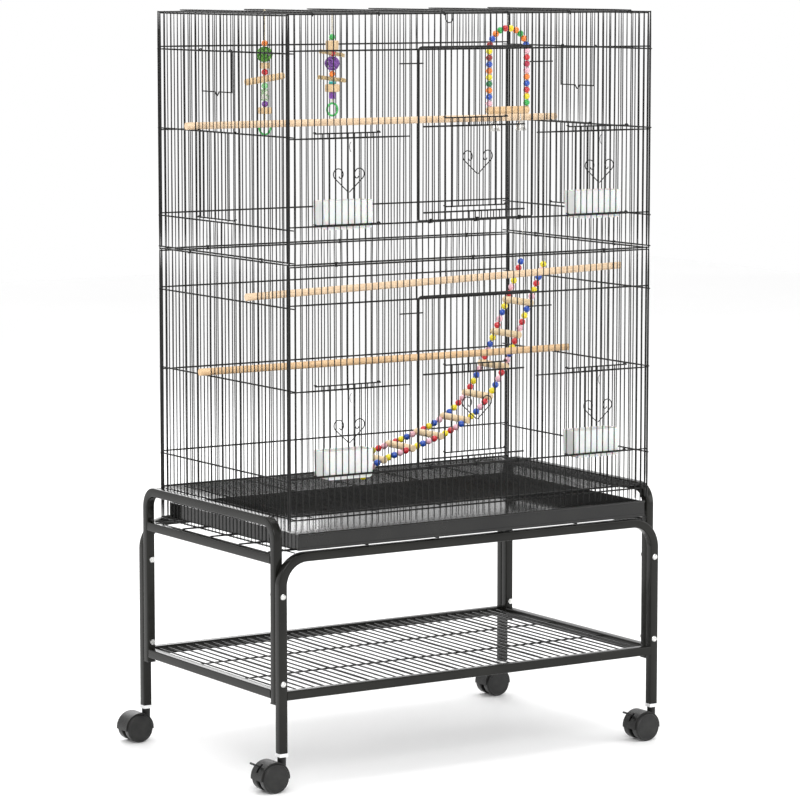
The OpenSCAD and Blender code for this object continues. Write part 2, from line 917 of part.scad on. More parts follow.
module cup_body(inset, rise) {
    depth = cup_back_y - cup_front_y;
    intersection() {
        linear_extrude(rise) cup_plan(inset);
        translate([0, cup_back_y, 0]) rotate([90, 0, 0]) linear_extrude(depth)
            cup_front(inset, rise);
    }
}

module feeder_cup(x, base) {
    color("#f2f2ee") placed() translate([x + cup_offset, 0, base]) {
        translate([0, 0, cup_low]) difference() {
            cup_body(0, cup_height);
            cup_body(cup_wall, cup_height + cut);
        }
        translate([-cup_ledge_half, cup_ledge_y, level_d + cross_r + clear + 0.05])
            cube([2 * cup_ledge_half, cup_front_y - cup_ledge_y + cut, cup_ledge_h]);
    }
}

module cup_upper_left() {
    feeder_cup(-slider_mid, base_z[1]);
}

module cup_upper_right() {
    feeder_cup(slider_mid, base_z[1]);
}

module cup_lower_left() {
    feeder_cup(-slider_mid, base_z[0]);
}

module cup_lower_right() {
    feeder_cup(slider_mid, base_z[0]);
}

// dowel through both sides, flattened where it passes between two bars
module perch(gap, z, tilt, shift) {
    y = side_post_front + (gap + 0.5) * side_pitch;
    translate([0, y, z]) difference() {
        rotate([0, -tilt, 0]) rod_x(shift - perch_half, shift + perch_half, 0, 0, perch_d);
        for (sx = [-1, 1]) for (s = [0, 1]) mirror([0, s, 0])
            translate([sx * bar_side_x - notch_wide, notch_half, -2 * perch_d])
                cube([2 * notch_wide, perch_d, 4 * perch_d]);
    }
}

module perch_upper() {
    color("#dcbf96") placed() perch(25, 1121.4, 0, 4);
}

module perch_tilted() {
    color("#dcbf96") placed() perch(8, 847.6, 1.47, 0);
}

module perch_lower() {
    color("#d6a974") placed() perch(21, 693.2, 0, 0);
}

// wire holder hooked over the upper side rail, drawn for the +X side
module side_hanger(gap) {
    r = cross_r + clear + hanger_wire_d / 2;
    y0 = side_post_front + (gap + 0.5) * side_pitch;
    leg_x0 = cross_side_x - r;
    low = hanger_z - hanger_drop;
    mid = y0 + hanger_span / 2;
    dip = hanger_dip;
    for (y = [y0, y0 + hanger_span]) {
        rod_z(low, hanger_z - weld_gap, leg_x0, y, hanger_wire_d);
        translate([cross_side_x, y, hanger_z]) wire_bend(r, hanger_wire_d, -20, 200);
    }
    for (s = [0, 1]) translate([leg_x0, mid, low + hanger_wire_d / 2]) mirror([0, s, 0]) {
        rod_y(dip, hanger_span / 2 - hanger_wire_d / 2 - weld_gap, 0, 0, hanger_wire_d);
        rod_between([0, 1, -dip], [0, dip - 0.3, -0.9], hanger_wire_d);
    }
}

module hanger_left() {
    color("#1d1d1c") placed() mirror([1, 0, 0]) side_hanger(15);
}

module hanger_right() {
    color("#1d1d1c") placed() side_hanger(12);
}

// ---------------------------------------------------------------- hanging toys

// open hook over a thin roof wire, opening sideways
module roof_hook(z_end) {
    r = bar_r + clear + hook_wire_d / 2;
    rotate([0, 0, 90]) wire_bend(r, hook_wire_d, -85, 300);
    rod_z(z_end, -r - hook_wire_d / 2 - weld_gap, 0, 0, hook_wire_d);
}

module ring(r, d) {
    rotate([90, 0, 0]) rotate_extrude() translate([r, 0]) circle(d = d);
}

// beads, blocks and links hang under each other with the string between them
module ball_at(z, r) {
    translate([0, 0, z]) sphere(r = r);
}

module block_at(z, d, h) {
    translate([0, 0, z - h / 2]) cylinder(d = d, h = h);
}

module string_run(z0, z1) {
    rod_z(z0 + weld_gap, z1 - weld_gap, 0, 0, hook_wire_d);
}

module toy_ball_string() {
    g = roof_bar_z;
    color("#7fae4e") placed() translate([-204.5, side_post_front + 29 * side_pitch, g]) {
        roof_hook(1268.8 - g);
        ball_at(1262.9 - g, 5.6);
        ball_at(1243 - g, 14);
        block_at(1223.2 - g, 18, 10.6);
        ball_at(1211.8 - g, 5.9);
        translate([0, 0, 1199.4 - g]) rotate([0, -8, 0]) rod_x(-40, 40, 0, 0, 12);
        ball_at(1187.2 - g, 5.9);
        block_at(1171 - g, 16, 20);
        ball_at(1155 - g, 5.8);
        block_at(1143.2 - g, 24, 11.4);
        string_run(1125.7 - g, 1137.5 - g);
        translate([0, 0, 1112 - g]) ring(11.5, 3.8);
    }
}

module toy_disc_string() {
    g = roof_bar_z;
    color("#3f9d8f") placed() translate([-140, side_mid, g]) {
        roof_hook(1281.2 - g);
        ball_at(1275.3 - g, 5.6);
        block_at(1261 - g, 23, 16.4);
        translate([0, 0, 1246.4 - g]) rotate([0, 6, 30]) rod_x(-44, 44, 0, 0, 8);
        ball_at(1229 - g, 12.9);
        ball_at(1210.5 - g, 5.5);
        translate([0, 0, 1201.8 - g]) rotate([0, 8, -20]) rod_x(-26, 26, 0, 0, 6);
        block_at(1195.1 - g, 12.5, 5);
        block_at(1185.7 - g, 26, 13.4);
        block_at(1172.8 - g, 12, 12);
        string_run(1160.9 - g, 1166.6 - g);
        translate([0, 0, 1148 - g]) ring(10.8, 3.8);
    }
}

swing_x = 218;
swing_half = 41;
swing_z = 1247;
swing_bar_z = 1140;
swing_beads = 28;
swing_leg = swing_z - swing_bar_z - swing_bar_d / 2;
swing_path = 2 * swing_leg + PI * swing_half;

// point on the swing arch after a run s from the left end of the bar
function swing_point(s) =
    s < swing_leg ? [-swing_half, s - swing_leg]
    : s > swing_path - swing_leg ? [swing_half, swing_path - s - swing_leg]
    : let(a = 180 - (s - swing_leg) / swing_half * 180 / PI)
      [swing_half * cos(a), swing_half * sin(a)];

module bead_swing() {
    pitch = swing_path / swing_beads;
    rise = swing_z - roof_bar_z;
    d = min(bead_d, pitch - 0.2);
    color("#c9543a") placed() translate([swing_x, side_mid - 2 * side_pitch, roof_bar_z]) {
        roof_hook(rise + swing_half + d / 2 + weld_gap);
        for (i = [0 : swing_beads - 1]) {
            p = swing_point((i + 0.5) * pitch);
            translate([p[0], 0, p[1] + rise]) sphere(d = d);
        }
        rod_x(-swing_half - 3, swing_half + 3, 0, swing_bar_z - roof_bar_z, swing_bar_d);
    }
}

// open bell on a short link under the swing bar
module bell() {
    link = 12;
    rod_z(-link + weld_gap, -weld_gap, 0, 0, hook_wire_d);
    translate([0, 0, -link - 18]) rotate_extrude() polygon([
        [10.6, 0], [11.5, 0], [8.4, 6], [7.2, 12], [4.6, 16.4], [0, 18], [0, 16.8],
        [4, 15.4], [6.3, 11.6], [7.5, 5.8]
    ]);
    translate([0, 0, -link - 16.5]) sphere(r = 2.6);
    rod_z(-link - 13.8, -link - 1.4, 0, 0, 1);
}

module swing_bells() {
    low = swing_bar_z - swing_bar_d / 2 - weld_gap;
    color("#b8b6ae") placed() {
        for (x = [-30, 28]) translate([swing_x + x, side_mid - 2 * side_pitch, low]) bell();
    }
}

// ---------------------------------------------------------------- ladder

ladder_top = [366, 846.5];
ladder_rails = [72, 146];
ladder_beads = 45;
ladder_rung_every = 5;
ladder_first_rung = 6;
ladder_pitch = 12.9;
ladder_over = 7;

// slope of the ladder below the horizontal: steep at the hooks, then shallow,
// then dropping over its last beads to the floor
function ladder_lean(n) = 14 + 52 / (1 + exp((n - 23.5) / 3.2)) + 31 / (1 + exp((42.5 - n) / 0.8));
function ladder_point(n) = n == 0 ? ladder_top
    : let(p = ladder_point(n - 1), a = ladder_lean(n - 0.5))
      p - ladder_pitch * [cos(a), sin(a)];
function is_rung(n) = n >= ladder_first_rung
    && (n - ladder_first_rung) % ladder_rung_every == 0;

module bead_ladder() {
    color("#d7b43c") placed() {
        for (n = [0 : ladder_beads]) if (!is_rung(n)) for (y = ladder_rails) {
            p = ladder_point(n);
            translate([p[0], y, p[1]]) sphere(d = bead_d);
        }
    }
}

module ladder_rungs() {
    color("#dfc491") placed() {
        for (n = [0 : ladder_beads]) if (is_rung(n)) {
            p = ladder_point(n);
            rod_y(ladder_rails[0] - ladder_over, ladder_rails[1] + ladder_over, p[0], p[1], rung_d);
        }
    }
}

// wire hooks that hold the ladder on the side rail between the tiers
module ladder_hooks() {
    r = cross_r + weld_gap + hook_wire_d / 2;
    rail = side_base_z[1];
    color("#8e8e8a") placed() {
        for (y = ladder_rails) {
            translate([cross_side_x, y, rail]) wire_bend(r, hook_wire_d, -10, 190);
            rod_z(ladder_top[1] + bead_d / 2 + 0.4, rail - weld_gap, cross_side_x - r, y,
                  hook_wire_d);
        }
    }
}

// ---------------------------------------------------------------- assembly

front_leg_frame();
rear_leg_frame();
left_side_arch();
right_side_arch();
shelf_frame();
shelf_wires();
frame_bolts();
frame_nuts();
caster_sockets();
arch_plugs();
base_rack();
caster_fl_fork();
caster_fr_fork();
caster_rl_fork();
caster_rr_fork();
caster_fl_wheels();
caster_fr_wheels();
caster_rl_wheels();
caster_rr_wheels();
brake_lever_fl();
brake_lever_fr();
front_panel_lower();
front_panel_upper();
back_panel_lower();
back_panel_upper();
left_panel_lower();
left_panel_upper();
right_panel_lower();
right_panel_upper();
roof_panel();
panel_clips();
door_hinge_clips();
floor_grate();
slide_tray();
main_door_upper();
main_door_lower();
slider_upper_left();
slider_upper_centre();
slider_upper_right();
slider_lower_left();
slider_lower_centre();
slider_lower_right();
slider_side_left();
slider_side_right();
cup_upper_left();
cup_upper_right();
cup_lower_left();
cup_lower_right();
perch_upper();
perch_tilted();
perch_lower();
hanger_left();
hanger_right();
toy_ball_string();
toy_disc_string();
bead_swing();
swing_bells();
bead_ladder();
ladder_rungs();
ladder_hooks();
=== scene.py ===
# Bird cage on a rolling stand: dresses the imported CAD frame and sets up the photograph's view.
import bpy
import math
import random
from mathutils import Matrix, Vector


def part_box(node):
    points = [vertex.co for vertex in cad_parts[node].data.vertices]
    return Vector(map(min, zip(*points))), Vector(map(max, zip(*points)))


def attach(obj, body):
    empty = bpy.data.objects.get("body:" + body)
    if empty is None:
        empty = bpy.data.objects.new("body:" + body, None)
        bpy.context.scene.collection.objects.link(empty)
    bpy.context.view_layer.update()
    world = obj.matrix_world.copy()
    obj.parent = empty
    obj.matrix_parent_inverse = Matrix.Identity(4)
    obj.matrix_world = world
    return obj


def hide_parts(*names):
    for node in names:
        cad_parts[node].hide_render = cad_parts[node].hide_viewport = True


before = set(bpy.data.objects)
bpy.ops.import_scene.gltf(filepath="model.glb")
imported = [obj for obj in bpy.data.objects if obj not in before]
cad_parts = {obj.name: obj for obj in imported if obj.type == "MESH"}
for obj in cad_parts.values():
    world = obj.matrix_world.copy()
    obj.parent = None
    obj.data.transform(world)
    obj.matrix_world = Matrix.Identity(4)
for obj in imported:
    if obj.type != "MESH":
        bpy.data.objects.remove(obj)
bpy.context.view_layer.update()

FIXED = "cage_and_stand"


def box(node):
    lo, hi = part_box(node)
    return Vector(lo), Vector(hi)


def middle(node):
    lo, hi = box(node)
    return (lo + hi) / 2


STAND = Vector((middle("front_leg_frame").x,
                (middle("front_leg_frame").y + middle("rear_leg_frame").y) / 2, 0.0))

# ------------------------------------------------------------------ camera, lights, floor

# long lens, from the front left; the offset is from the stand's middle at the floor
LENS_MM = 161.9
SENSOR_MM = 36.0
CAMERA_OFFSET = Vector((-3.46816, -5.43531, 1.39859))
CAMERA_TILT = 0.1199
CAMERA_TURN = 0.56827


def camera():
    cam = bpy.data.cameras.new("camera")
    cam.lens = LENS_MM
    cam.sensor_width = SENSOR_MM
    cam.clip_end = 60.0
    obj = bpy.data.objects.new("camera", cam)
    bpy.context.collection.objects.link(obj)
    obj.location = STAND + CAMERA_OFFSET
    obj.rotation_euler = (math.pi / 2 - CAMERA_TILT, 0.0, -CAMERA_TURN)
    bpy.context.scene.camera = obj


camera()


def area_light(name, loc, target, size, power):
    data = bpy.data.lights.new(name, "AREA")
    data.shape = "RECTANGLE"
    data.size, data.size_y = size
    data.energy = power
    obj = bpy.data.objects.new(name, data)
    bpy.context.collection.objects.link(obj)
    obj.location = loc
    obj.rotation_euler = (Vector(target) - Vector(loc)).to_track_quat("-Z", "Y").to_euler()


def studio():
    aim = (STAND.x, STAND.y, 0.7)
    area_light("key", (-2.6, -4.2, 3.6), aim, (2.2, 2.2), 130)
    area_light("fill", (3.8, -3.2, 1.6), aim, (2.4, 2.4), 45)
    area_light("top", (0.2, 0.3, 4.2), aim, (3.0, 3.0), 70)
    area_light("back", (1.0, 4.6, 2.2), aim, (3.2, 2.0), 50)
    bpy.context.scene.view_settings.view_transform = "Standard"
    world = bpy.data.worlds.new("studio")
    bpy.context.scene.world = world
    world.use_nodes = True
    bg = world.node_tree.nodes["Background"]
    bg.inputs["Color"].default_value = (1.0, 1.0, 1.0, 1.0)
    bg.inputs["Strength"].default_value = 1.0


studio()

# ------------------------------------------------------------------ materials

MATS = {}


def surface(name, dark, light, rough, scale=(40, 40, 40), detail=4.0, bump=0.0, bump_scale=400.0,
            rough_spread=0.06, **const):
    """Two-tone noise colour, uneven roughness and a fine bump; const goes on the shader itself."""
    m = bpy.data.materials.new(name)
    m.use_nodes = True
    nt = m.node_tree
    bsdf = nt.nodes["Principled BSDF"]
    coord = nt.nodes.new("ShaderNodeTexCoord")
    mapping = nt.nodes.new("ShaderNodeMapping")
    mapping.inputs["Scale"].default_value = scale
    nt.links.new(coord.outputs["Object"], mapping.inputs["Vector"])
    tone = nt.nodes.new("ShaderNodeTexNoise")
    tone.inputs["Scale"].default_value = 1.0
    tone.inputs["Detail"].default_value = detail
    nt.links.new(mapping.outputs["Vector"], tone.inputs["Vector"])
    ramp = nt.nodes.new("ShaderNodeValToRGB")
    ramp.color_ramp.elements[0].position = 0.32
    ramp.color_ramp.elements[1].position = 0.68
    ramp.color_ramp.elements[0].color = (*dark, 1.0)
    ramp.color_ramp.elements[1].color = (*light, 1.0)
    nt.links.new(tone.outputs["Fac"], ramp.inputs["Fac"])
    nt.links.new(ramp.outputs["Color"], bsdf.inputs["Base Color"])
    spread = nt.nodes.new("ShaderNodeMapRange")
    spread.inputs["To Min"].default_value = max(0.02, rough - rough_spread)
    spread.inputs["To Max"].default_value = min(1.0, rough + rough_spread)
    nt.links.new(tone.outputs["Fac"], spread.inputs["Value"])
    nt.links.new(spread.outputs["Result"], bsdf.inputs["Roughness"])
    if bump:
        grit = nt.nodes.new("ShaderNodeTexNoise")
        grit.inputs["Scale"].default_value = bump_scale
        grit.inputs["Detail"].default_value = 3.0
        nt.links.new(coord.outputs["Object"], grit.inputs["Vector"])
        b = nt.nodes.new("ShaderNodeBump")
        b.inputs["Strength"].default_value = bump
        b.inputs["Distance"].default_value = 0.0006
        nt.links.new(grit.outputs["Fac"], b.inputs["Height"])
        nt.links.new(b.outputs["Normal"], bsdf.inputs["Normal"])
    for key, value in const.items():
        bsdf.inputs[key].default_value = value
    MATS[name] = m
    return m


def wood(name, pale, dark, axis, rough=0.55):
    """Straight grain along one axis: stretched noise over soft growth bands, with fine pores."""
    m = surface(name, dark, pale, rough, scale=[18.0 if i == axis else 420.0 for i in range(3)],
                detail=5.0, rough_spread=0.1)
    nt = m.node_tree
    bsdf = nt.nodes["Principled BSDF"]
    coord = nt.nodes["Texture Coordinate"]
    stretch = nt.nodes.new("ShaderNodeMapping")
    stretch.inputs["Scale"].default_value = [60.0 if i == axis else 1500.0 for i in range(3)]
    nt.links.new(coord.outputs["Object"], stretch.inputs["Vector"])
    pores = nt.nodes.new("ShaderNodeTexNoise")
    pores.inputs["Scale"].default_value = 1.0
    pores.inputs["Detail"].default_value = 4.0
    nt.links.new(stretch.outputs["Vector"], pores.inputs["Vector"])
    b = nt.nodes.new("ShaderNodeBump")
    b.inputs["Strength"].default_value = 0.35
    b.inputs["Distance"].default_value = 0.0004
    nt.links.new(pores.outputs["Fac"], b.inputs["Height"])
    nt.links.new(b.outputs["Normal"], bsdf.inputs["Normal"])
    return m


def shade(c, k):
    return tuple(min(1.0, v * k) for v in c)


ENAMEL = surface("tube_enamel", (0.007, 0.007, 0.006), (0.013, 0.013, 0.011), 0.2, (9, 9, 9), bump=0.12,
                 bump_scale=900, **{"Coat Weight": 0.12, "Coat Roughness": 0.08, "Specular IOR Level": 0.15})
WIRE = surface("wire_enamel", (0.006, 0.006, 0.006), (0.014, 0.014, 0.013), 0.3, (60, 60, 25), bump=0.15,
               bump_scale=1500, **{"Specular IOR Level": 0.2})
SHELF = surface("shelf_enamel", (0.007, 0.007, 0.007), (0.016, 0.016, 0.015), 0.28, (40, 12, 40), bump=0.12,
                bump_scale=1200, **{"Specular IOR Level": 0.22})
ZINC = surface("bolt_zinc", (0.55, 0.55, 0.54), (0.78, 0.78, 0.76), 0.25, (500, 500, 500), bump=0.2,
               bump_scale=3000, Metallic=1.0)
SOCKET = surface("socket_white", (0.80, 0.80, 0.80), (0.92, 0.92, 0.92), 0.4, (120, 120, 120), bump=0.08,
                 bump_scale=1500)
HOOD = surface("hood_plastic", (0.008, 0.008, 0.008), (0.016, 0.016, 0.015), 0.34, (60, 60, 60), bump=0.3,
               bump_scale=2600, **{"Specular IOR Level": 0.25})
TREAD = surface("wheel_plastic", (0.010, 0.010, 0.010), (0.020, 0.020, 0.019), 0.3, (70, 70, 70), bump=0.25,
                bump_scale=2200, **{"Specular IOR Level": 0.3})
TRAY = surface("tray_gloss", (0.006, 0.006, 0.006), (0.012, 0.012, 0.011), 0.14, (14, 14, 14), bump=0.05,
               bump_scale=500, rough_spread=0.04, **{"Coat Weight": 0.2, "Coat Roughness": 0.05,
                                                     "Specular IOR Level": 0.25})
CUP = surface("cup_milk", (0.86, 0.87, 0.86), (0.95, 0.95, 0.94), 0.32, (35, 35, 35), bump=0.05,
              bump_scale=700, **{"Transmission Weight": 0.22, "Subsurface Weight": 0.35,
                                 "Subsurface Scale": 0.006})
PERCH = wood("perch_pale", (0.82, 0.63, 0.43), (0.68, 0.48, 0.30), 0)
PERCH_WARM = wood("perch_warm", (0.80, 0.56, 0.32), (0.66, 0.42, 0.22), 0)
RUNG = wood("rung_wood", (0.84, 0.68, 0.44), (0.72, 0.53, 0.30), 1)
BLOCK = wood("block_wood", (0.80, 0.61, 0.37), (0.62, 0.42, 0.22), 2)
BAR = wood("swing_bar_wood", (0.80, 0.56, 0.32), (0.64, 0.41, 0.20), 0)
STEEL = surface("bright_wire", (0.55, 0.54, 0.51), (0.80, 0.79, 0.76), 0.28, (300, 300, 300), bump=0.1,
                bump_scale=2500, Metallic=1.0)
BRASSY = surface("toy_wire", (0.42, 0.36, 0.22), (0.66, 0.58, 0.38), 0.35, (300, 300, 300), bump=0.1,
                 bump_scale=2500, Metallic=0.9)

BEADS = {
    "red": (0.62, 0.02, 0.03), "crimson": (0.45, 0.01, 0.05), "dark_red": (0.30, 0.02, 0.02),
    "green": (0.03, 0.42, 0.08), "dark_green": (0.01, 0.20, 0.07), "light_green": (0.25, 0.62, 0.28),
    "orange": (0.86, 0.22, 0.02), "blue": (0.01, 0.08, 0.48), "yellow": (0.88, 0.74, 0.02),
    "pink": (0.86, 0.50, 0.58), "purple": (0.20, 0.05, 0.36), "teal": (0.02, 0.36, 0.34),
}
for _name, _c in BEADS.items():
    surface("bead_" + _name, shade(_c, 0.82), shade(_c, 1.12), 0.2, (150, 150, 150), bump=0.06,
            bump_scale=1200, **{"Coat Weight": 0.5, "Coat Roughness": 0.08, "Subsurface Weight": 0.08,
                                "Subsurface Scale": 0.002})
VINE_GREEN = surface("vine_green", (0.03, 0.16, 0.02), (0.16, 0.42, 0.06), 0.7, (260, 260, 260), bump=0.7,
                     bump_scale=2200)
VINE_PURPLE = surface("vine_purple", (0.10, 0.03, 0.20), (0.30, 0.12, 0.46), 0.7, (260, 260, 260),
                      bump=0.7, bump_scale=2200)
RAFFIA = surface("raffia", (0.42, 0.30, 0.14), (0.78, 0.62, 0.36), 0.75, (420, 420, 420), bump=0.6,
                 bump_scale=2400)
YARN_WHITE = surface("yarn_white", (0.66, 0.68, 0.60), (0.88, 0.88, 0.82), 0.8, (300, 300, 300), bump=0.6,
                     bump_scale=2400)
YARN_GREEN = surface("yarn_green", (0.16, 0.38, 0.14), (0.36, 0.62, 0.30), 0.8, (300, 300, 300), bump=0.6,
                     bump_scale=2400)


def floor():
    m = surface("floor_pale", (0.95, 0.95, 0.95), (0.98, 0.98, 0.98), 0.6, (0.7, 0.7, 0.7))
    mesh = bpy.data.meshes.new("floor")
    cells, side = 12, 14.0
    back, sink = 2.0, 0.0006
    row = cells + 1
    verts = [((i / cells - 0.5) * side, (j / cells - 0.5) * side + back, -sink)
             for j in range(row) for i in range(row)]
    faces = [(j * row + i, j * row + i + 1, (j + 1) * row + i + 1, (j + 1) * row + i)
             for j in range(cells) for i in range(cells)]
    mesh.from_pydata(verts, [], faces)
    mesh.materials.append(m)
    obj = bpy.data.objects.new("floor", mesh)
    bpy.context.collection.objects.link(obj)


floor()

# ------------------------------------------------------------------ mesh making


def square_to(axis):
    """Two unit directions square to a unit axis and to each other."""
    ref = Vector((0, 0, 1)) if abs(axis.z) < 0.9 else Vector((1, 0, 0))
    u = (ref - axis * ref.dot(axis)).normalized()
    return u, axis.cross(u)


class Shape:
    """Collects swept tubes and lathed solids, then becomes one object."""

    def __init__(self):
        self.verts, self.faces, self.slots, self.mats = [], [], [], []

    def mat(self, m):
        if m not in self.mats:
            self.mats.append(m)
        return self.mats.index(m)

    def sweep(self, path, profile, m, normal=None, closed=False):
        """Carries a closed profile of (u, w) offsets along the path, with flat ends unless closed."""
        slot = self.mat(m)
        n, k = len(path), len(profile)
        pts = [Vector(p) for p in path]
        tangents = []
        for i in range(n):
            a = pts[i - 1] if (i or closed) else pts[0]
            b = pts[(i + 1) % n] if (i < n - 1 or closed) else pts[-1]
            tangents.append((b - a).normalized())
        u = square_to(tangents[0])[0] if normal is None else Vector(normal)
        base = len(self.verts)
        for p, t in zip(pts, tangents):
            if normal is None:
                u = (u - t * u.dot(t)).normalized()
            w = t.cross(u)
            for a, b in profile:
                self.verts.append(p + u * a + w * b)
        last = n if closed else n - 1
        for i in range(last):
            r0, r1 = base + i * k, base + ((i + 1) % n) * k
            for j in range(k):
                self.faces.append((r0 + j, r0 + (j + 1) % k, r1 + (j + 1) % k, r1 + j))
                self.slots.append(slot)
        if not closed:
            self.faces.append(tuple(base + j for j in range(k))[::-1])
            self.faces.append(tuple(base + (n - 1) * k + j for j in range(k)))
            self.slots += [slot, slot]

    def tube(self, path, r, m, sides=8, closed=False):
        ring = [(r * math.cos(2 * math.pi * j / sides), r * math.sin(2 * math.pi * j / sides))
                for j in range(sides)]
        self.sweep(path, ring, m, closed=closed)

    def lathe(self, centre, axis, outline, m, sides=28):
        """outline is (radius, height along the axis) from one end to the other."""
        slot = self.mat(m)
        axis = Vector(axis).normalized()
        u, w = square_to(axis)
        centre = Vector(centre)
        base = len(self.verts)
        for r, h in outline:
            for j in range(sides):
                a = 2 * math.pi * j / sides
                self.verts.append(centre + axis * h + (u * math.cos(a) + w * math.sin(a)) * max(r, 1e-5))
        for i in range(len(outline) - 1):
            r0, r1 = base + i * sides, base + (i + 1) * sides
            for j in range(sides):
                self.faces.append((r0 + j, r0 + (j + 1) % sides, r1 + (j + 1) % sides, r1 + j))
                self.slots.append(slot)

    def bead(self, centre, r, m, axis=(0, 0, 1), hole=0.22, squash=1.0, rows=10, sides=22):
        """Round bead with a drilled hole and softened mouths."""
        a0 = math.asin(hole)
        mouth = r * math.cos(a0) * squash
        deep = mouth * 0.7
        out = [(r * hole, -deep), (r * hole, -mouth)]
        for i in range(rows + 1):
            a = -math.pi / 2 + a0 + (math.pi - 2 * a0) * i / rows
            out.append((r * math.cos(a), r * math.sin(a) * squash))
        out += [(r * hole, mouth), (r * hole, deep)]
        self.lathe(centre, axis, out, m, sides)

    def block(self, centre, r, h, m, axis=(0, 0, 1), hole=0.18, edge=0.09, sides=26):
        """Turned wooden cylinder with eased edges and a drilled hole."""
        e = min(r, h) * edge * 1.6
        out = [(r * hole, -h / 2 + e), (r * hole, -h / 2)]
        for i in range(5):
            a = math.pi / 2 * i / 4
            out.append((r - e + e * math.sin(a), -h / 2 + e - e * math.cos(a)))
        for i in range(5):
            a = math.pi / 2 * i / 4
            out.append((r - e + e * math.cos(a), h / 2 - e + e * math.sin(a)))
        out += [(r * hole, h / 2), (r * hole, h / 2 - e)]
        self.lathe(centre, axis, out, m, sides)

    def object(self, name, body, slot_name, *nodes, sharp=32.0):
        mesh = bpy.data.meshes.new(name)
        mesh.from_pydata([tuple(v) for v in self.verts], [], self.faces)
        for m in self.mats:
            mesh.materials.append(m)
        mesh.polygons.foreach_set("material_index", self.slots)
        mesh.polygons.foreach_set("use_smooth", [True] * len(self.faces))
        mesh.set_sharp_from_angle(angle=math.radians(sharp))
        mesh.update()
        obj = bpy.data.objects.new(name, mesh)
        bpy.context.collection.objects.link(obj)
        if nodes:
            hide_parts(*nodes)
        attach(obj, body)


def islands(node):
    """Separate solids of a CAD node as (low corner, high corner)."""
    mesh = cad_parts[node].data
    parent = list(range(len(mesh.vertices)))

    def root(i):
        while parent[i] != i:
            parent[i] = parent[parent[i]]
            i = parent[i]
        return i

    seen = {}
    for v in mesh.vertices:
        key = tuple(round(c, 7) for c in v.co)
        if key in seen:
            parent[root(v.index)] = root(seen[key])
        else:
            seen[key] = v.index
    for e in mesh.edges:
        a, b = root(e.vertices[0]), root(e.vertices[1])
        if a != b:
            parent[a] = b
    groups = {}
    for v in mesh.vertices:
        g = groups.setdefault(root(v.index), [v.co.copy(), v.co.copy()])
        for k in range(3):
            g[0][k] = min(g[0][k], v.co[k])
            g[1][k] = max(g[1][k], v.co[k])
    return sorted(groups.values(), key=lambda g: tuple(round(c, 5) for c in g[0]))


THIN_WIRE_R = 0.0012
ROUND_WITHIN = 2e-5
SLENDER = 3
END_EASE = 0.72


def straight(lo, hi):
    """(axis, start, end, radius) of a box round a straight wire, or None."""
    size = hi - lo
    axis = max(range(3), key=lambda k: size[k])
    other = [k for k in range(3) if k != axis]
    if abs(size[other[0]] - size[other[1]]) > ROUND_WITHIN or size[axis] < SLENDER * size[other[0]]:
        return None
    mid = (lo + hi) / 2
    a, b = mid.copy(), mid.copy()
    a[axis], b[axis] = lo[axis], hi[axis]
    return axis, a, b, size[other[0]] / 2


def drawn_wires(shape, node, m, bow=0.0, bow_axis=None, step=0.05, seed=1):
    """Redraws every straight wire of a node with the slight bow of drawn wire and eased ends."""
    rng = random.Random(seed)
    for lo, hi in islands(node):
        found = straight(lo, hi)
        if found is None:
            continue
        axis, a, b, r = found
        length = (b - a).length
        n = max(2, int(length / step) + 1)
        side = bow_axis if bow_axis is not None else (0 if axis != 0 else 2)
        amp = bow if r < THIN_WIRE_R else bow * 0.3
        slow_phase, quick_phase = rng.uniform(0, 6.28), rng.uniform(0, 6.28)
        slow, quick = rng.uniform(9, 15), rng.uniform(22, 34)
        path = []
        for i in range(n + 1):
            p = a.lerp(b, i / n)
            s = length * i / n
            p[side] += amp * (0.7 * math.sin(slow * s + slow_phase) + 0.3 * math.sin(quick * s + quick_phase))
            path.append(p)
        sides = 8 if r < THIN_WIRE_R else 10
        base = len(shape.verts)
        shape.tube(path, r, m, sides=sides)
        for j in range(sides):
            for row, end in ((0, path[0]), (n, path[-1])):
                k = base + row * sides + j
                shape.verts[k] = end + (shape.verts[k] - end) * END_EASE


def rounded_square(side, r, seg=4):
    pts = []
    h = side / 2 - r
    for q, (cx, cy) in enumerate(((h, h), (-h, h), (-h, -h), (h, -h))):
        for i in range(seg + 1):
            a = math.pi / 2 * (q + i / seg)
            pts.append((cx + r * math.cos(a), cy + r * math.sin(a)))
    return pts


def arc(centre, r, a0, a1, u, w, n=14):
    c, u, w = Vector(centre), Vector(u), Vector(w)
    return [c + u * (r * math.cos(a0 + (a1 - a0) * i / n)) + w * (r * math.sin(a0 + (a1 - a0) * i / n))
            for i in range(n + 1)]


def circle(centre, r, u, w, n):
    """n points of a closed circle round the centre."""
    return arc(centre, r, 0, 2 * math.pi, u, w, n)[:-1]


TUBE = box("front_leg_frame")[1].y - box("front_leg_frame")[0].y
TUBE_CORNER = 0.0022
PROFILE = rounded_square(TUBE, TUBE_CORNER)


def paint(node, m):
    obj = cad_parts[node]
    if not obj.material_slots:
        obj.data.materials.append(m)
    for slot in obj.material_slots:
        slot.material = m


# ------------------------------------------------------------------ stand

UP = Vector((0, 0, 1))
LEG_BEND, ARCH_BEND = 0.048, 0.030
FOOT_LENGTH = 0.02
CROSS_BAR = box("base_rack")[0].z - TUBE / 2
WELD_R, WELD_CORNER, WELD_WOBBLE = 0.0009, 0.003, 0.02


